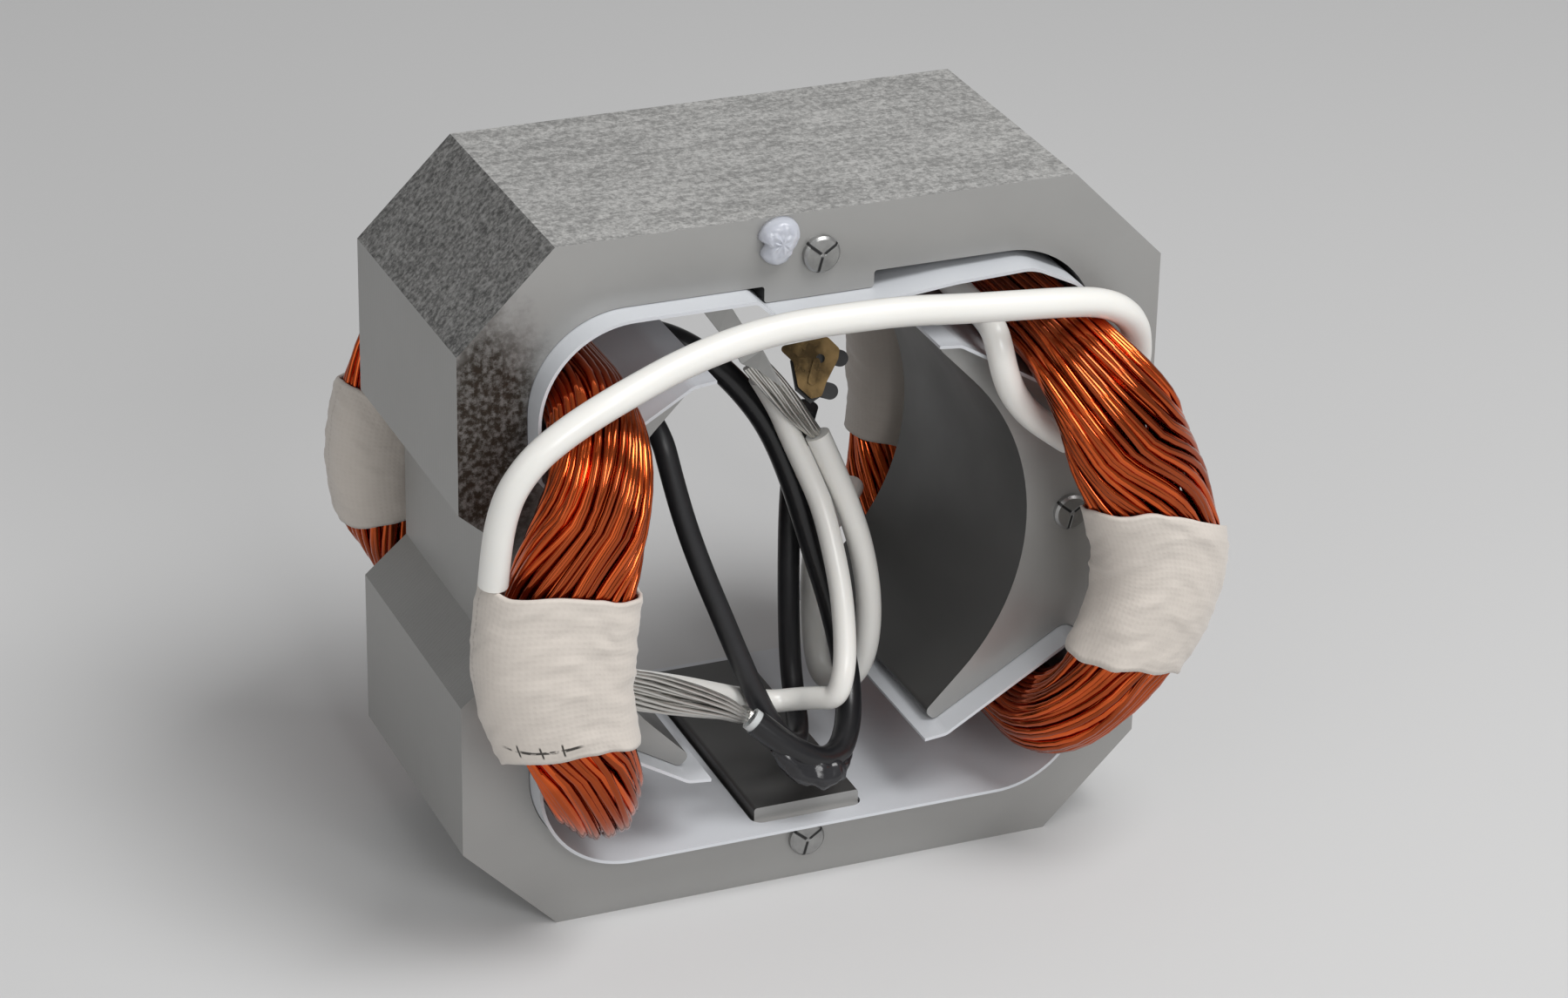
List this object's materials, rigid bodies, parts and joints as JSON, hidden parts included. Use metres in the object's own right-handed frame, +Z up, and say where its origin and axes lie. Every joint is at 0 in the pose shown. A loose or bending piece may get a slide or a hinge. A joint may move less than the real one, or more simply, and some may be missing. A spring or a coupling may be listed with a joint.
{
  "type": "wound stator",
  "caption": "Square laminated stator with two poles, two taped copper field windings, folded slot liners and loose sleeved leads.",
  "frame": {"origin": "on the bore axis, at the middle of the lamination stack", "axes": "+Y along the bore axis towards the rear winding ends, +Z up through the plain yoke, the poles face each other along X"},
  "size_m": [0.0969, 0.0752, 0.09],
  "materials": {
    "steel": "bare electrical steel with a thin dull film and brown oil stains on the front",
    "rivet_steel": "dull bare steel",
    "liner": "smooth satin insulating sheet",
    "copper": "glossy enamelled copper wire",
    "tape": "off-white cotton tape",
    "ivory_sleeve": "smooth glossy silicone sleeve",
    "tinned": "bright tinned copper strands",
    "tinned_dull": "dull tinned strip",
    "black_sleeve": "satin black sleeve",
    "clear_lining": "clear plastic lining",
    "compound": "glossy black sealing compound",
    "black_lead": "satin black lead",
    "brass": "aged bronze with a soft sheen",
    "black_plastic": "black moulded plastic",
    "silicone": "translucent silicone"
  },
  "bodies": {
    "root": {"lamination_stack": "steel", "rivet_top": "rivet_steel", "rivet_bottom": "rivet_steel", "rivet_left": "rivet_steel", "rivet_right": "rivet_steel", "window_liner_top": "liner", "window_liner_bottom": "liner", "coil_left": "copper", "coil_right": "copper", "tape_left_front": "tape", "tape_left_rear": "tape", "tape_right_front": "tape", "tape_right_rear": "tape", "crossover_sleeve": "ivory_sleeve", "inner_sleeve": "ivory_sleeve", "white_lead": "ivory_sleeve", "white_sleeve": "ivory_sleeve", "open_end_strands": "tinned", "splice_strap": "tinned_dull", "black_sleeve": "black_sleeve", "sleeve_lining": "clear_lining", "tinned_strands": "tinned", "sealing_compound": "compound", "black_lead": "black_lead", "brass_terminal": "brass", "terminal_backing": "black_plastic", "silicone_dab": "silicone"}
  },
  "joints": []
}
